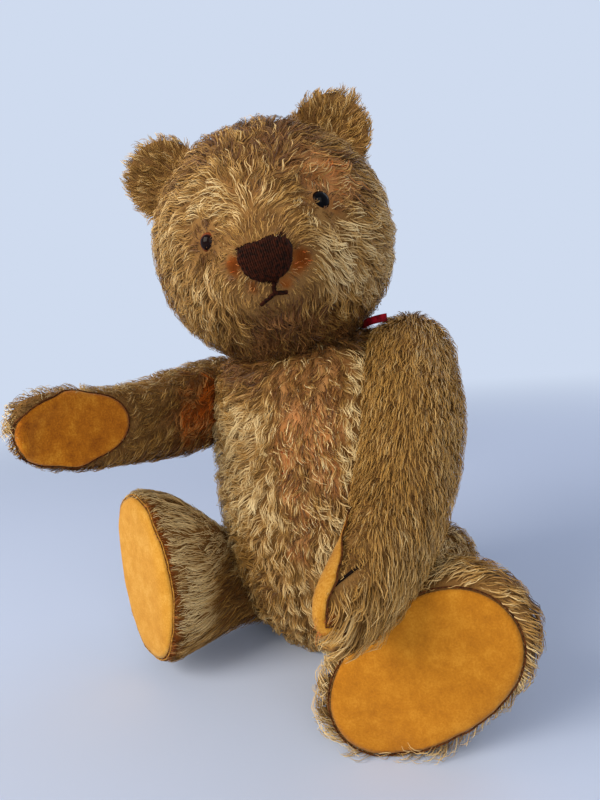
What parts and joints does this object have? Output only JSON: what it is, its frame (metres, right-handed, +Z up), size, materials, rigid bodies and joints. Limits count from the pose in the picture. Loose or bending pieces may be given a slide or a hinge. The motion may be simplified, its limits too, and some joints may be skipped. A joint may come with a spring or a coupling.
{
  "type": "teddy bear",
  "caption": "Old jointed mohair teddy bear, sitting with its head turned, worn thin in places, with felt pads, glass eyes, a stitched nose and a scrap of neck ribbon.",
  "frame": {"origin": "on the floor under the middle of the sitting bear's bounding box", "axes": "+Z up, the torso's front looks along -Y leaning a little to its right, the bear's own left is +X"},
  "size_m": [0.1936, 0.1884, 0.2599],
  "materials": {
    "mohair": "worn curly mohair pile in olive brown with pale tips",
    "wood_wool": "packed fine wood shavings",
    "felt": "matte golden wool felt",
    "fibreboard": "pressed board",
    "steel": "dull drawn wire and sheet",
    "glass": "polished dark brown glass",
    "thread": "dark brown embroidery thread",
    "ribbon": "faded crimson satin"
  },
  "bodies": {
    "torso": {"torso_cover": "mohair", "torso_stuffing": "wood_wool", "neck_ribbon": "ribbon", "neck_body_disc": "fibreboard", "neck_body_washer": "steel", "right_shoulder_body_disc": "fibreboard", "right_shoulder_body_washer": "steel", "right_hip_body_disc": "fibreboard", "right_hip_body_washer": "steel", "left_shoulder_body_disc": "fibreboard", "left_shoulder_body_washer": "steel", "left_hip_body_disc": "fibreboard", "left_hip_body_washer": "steel"},
    "head": {"head_cover": "mohair", "head_stuffing": "wood_wool", "right_eye": "glass", "left_eye": "glass", "nose_embroidery": "thread", "mouth_stitches": "thread", "right_ear": "mohair", "left_ear": "mohair", "neck_limb_disc": "fibreboard", "neck_limb_washer": "steel", "neck_split_pin": "steel"},
    "right_arm": {"right_arm_cover": "mohair", "right_arm_stuffing": "wood_wool", "right_paw_pad": "felt", "right_shoulder_limb_disc": "fibreboard", "right_shoulder_limb_washer": "steel", "right_shoulder_split_pin": "steel"},
    "right_leg": {"right_leg_cover": "mohair", "right_leg_stuffing": "wood_wool", "right_foot_pad": "felt", "right_hip_limb_disc": "fibreboard", "right_hip_limb_washer": "steel", "right_hip_split_pin": "steel"},
    "left_arm": {"left_arm_cover": "mohair", "left_arm_stuffing": "wood_wool", "left_paw_pad": "felt", "left_shoulder_limb_disc": "fibreboard", "left_shoulder_limb_washer": "steel", "left_shoulder_split_pin": "steel"},
    "left_leg": {"left_leg_cover": "mohair", "left_leg_stuffing": "wood_wool", "left_foot_pad": "felt", "left_hip_limb_disc": "fibreboard", "left_hip_limb_washer": "steel", "left_hip_split_pin": "steel"}
  },
  "joints": [
    {"name": "neck_turn", "type": "hinge", "parent": "torso", "child": "head", "pos_m": [-0.02319, 0.03678, 0.1472], "axis": [-0.0505, -0.2078, 0.9769], "range_deg": [-90, 30]},
    {"name": "right_shoulder_swing", "type": "hinge", "parent": "torso", "child": "right_arm", "pos_m": [-0.06378, 0.04035, 0.12325], "axis": [-0.9998, -0.0112, 0.0187], "range_deg": [-10, 25]},
    {"name": "left_shoulder_swing", "type": "hinge", "parent": "torso", "child": "left_arm", "pos_m": [0.02122, 0.04035, 0.13144], "axis": [0.9538, -0.0203, 0.2997], "range_deg": [-45, 0]},
    {"name": "right_hip_swing", "type": "hinge", "parent": "torso", "child": "right_leg", "pos_m": [-0.04187, 0.05094, 0.02819], "axis": [-0.9445, 0.1642, -0.2846], "range_deg": [-90, 0]},
    {"name": "left_hip_swing", "type": "hinge", "parent": "torso", "child": "left_leg", "pos_m": [0.01785, 0.05094, 0.03394], "axis": [0.9814, 0.1642, -0.0992], "range_deg": [0, 85]}
  ]
}
